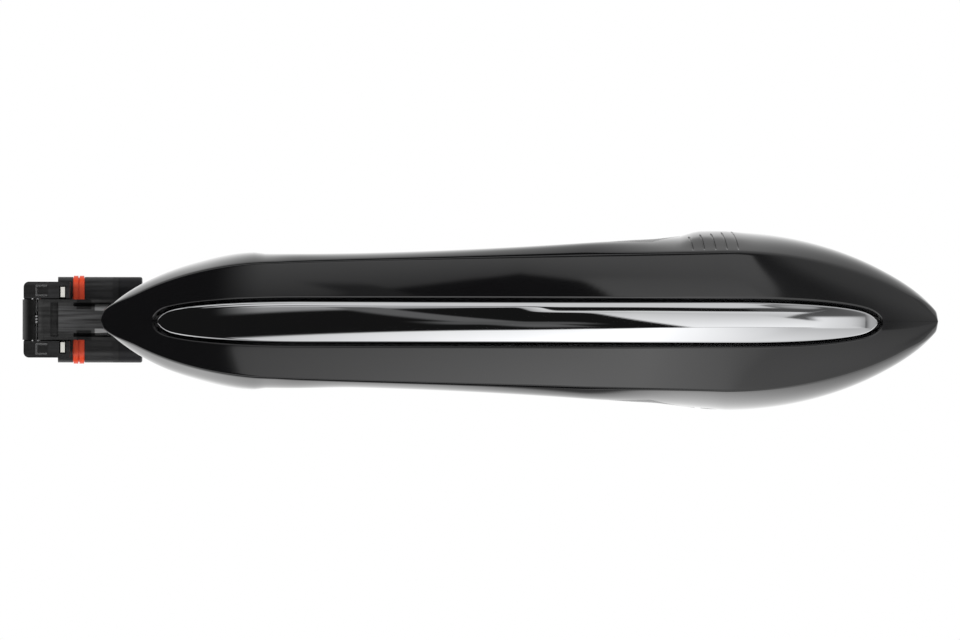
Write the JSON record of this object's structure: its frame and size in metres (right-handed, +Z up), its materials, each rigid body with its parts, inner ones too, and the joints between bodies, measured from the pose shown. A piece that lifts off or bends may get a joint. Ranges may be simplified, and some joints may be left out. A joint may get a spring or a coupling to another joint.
{
  "type": "car door handle",
  "caption": "Outside pull handle of a car door: gloss-black bowed grip with a chrome trim strip, a ribbed touch field, hinge arm, sealed plug and rear hook.",
  "frame": {"origin": "midway between the two threaded fixing holes, on the back face of the hinge block", "axes": "+X rearwards along the grip; +Y into the door, along the fixing holes; +Z up; the outer face looks to -Y"},
  "size_m": [0.2346, 0.0597, 0.0454],
  "materials": {
    "shell_paint": "gloss black paint under clear coat",
    "cover_plastic": "smooth black moulded plastic",
    "trim_chrome": "bright chrome plating",
    "tape_foam": "black foam tape",
    "gasket_rubber": "soft black rubber",
    "screw_steel": "zinc-plated steel",
    "arm_plastic": "satin black glass-filled nylon",
    "bush_plastic": "dark self-lubricating plastic",
    "copper_foil": "copper foil",
    "board_laminate": "green glass-epoxy laminate",
    "chip_plastic": "black moulded plastic",
    "led_resin": "pale yellow resin",
    "white_plastic": "white nylon",
    "clear_plastic": "clear acrylic",
    "ferrite": "dark grey ferrite",
    "coil_copper": "lacquered copper wire",
    "block_plastic": "satin black glass-filled nylon",
    "pin_steel": "bright ground steel",
    "seal_rubber": "orange-red silicone rubber",
    "tinned_brass": "tin-plated brass",
    "insert_brass": "plain brass",
    "boot_rubber": "black rubber",
    "lead_sheath": "black flexible sheath",
    "spring_steel": "drawn spring steel"
  },
  "bodies": {
    "hinge_block_body": {"hinge_block": "block_plastic", "hinge_pin": "pin_steel", "pin_clips": "pin_steel", "plug_seal": "seal_rubber", "plug_terminals": "tinned_brass", "threaded_inserts": "insert_brass", "plug_boot": "boot_rubber", "arm_bumper": "gasket_rubber", "return_spring": "spring_steel"},
    "grip_body": {"outer_shell": "shell_paint", "inner_cover": "cover_plastic", "trim_strip": "trim_chrome", "trim_tape": "tape_foam", "front_gasket": "gasket_rubber", "rear_gasket": "gasket_rubber", "cover_screws": "screw_steel", "arm_screws": "screw_steel", "hook_screws": "screw_steel", "board_screws": "screw_steel", "hinge_arm": "arm_plastic", "arm_bushes": "bush_plastic", "rear_hook": "arm_plastic", "hook_buffer": "gasket_rubber", "lock_electrode": "copper_foil", "sensor_board": "board_laminate", "circuit_board": "board_laminate", "board_chips": "chip_plastic", "courtesy_led": "led_resin", "board_connector": "white_plastic", "light_guide": "clear_plastic", "unlock_electrode": "copper_foil", "aerial_rod": "ferrite", "aerial_coil": "coil_copper", "lead_grommet": "gasket_rubber", "grip_harness": "lead_sheath", "sensor_lead": "lead_sheath"},
    "terminal_lock_body": {"terminal_lock": "white_plastic"}
  },
  "joints": [
    {"name": "handle_pull", "type": "hinge", "parent": "hinge_block_body", "child": "grip_body", "pos_m": [-0.016, -0.0174, 0], "axis": [0, 0, -1], "range_deg": [0, 12], "stiffness_Nm_per_rad": 0.5, "springref_deg": -17.19, "deforming": ["return_spring"]},
    {"name": "terminal_lock_slide", "type": "slide", "parent": "hinge_block_body", "child": "terminal_lock_body", "axis": [0, 1, 0], "range_m": [0, 0.0014]}
  ]
}
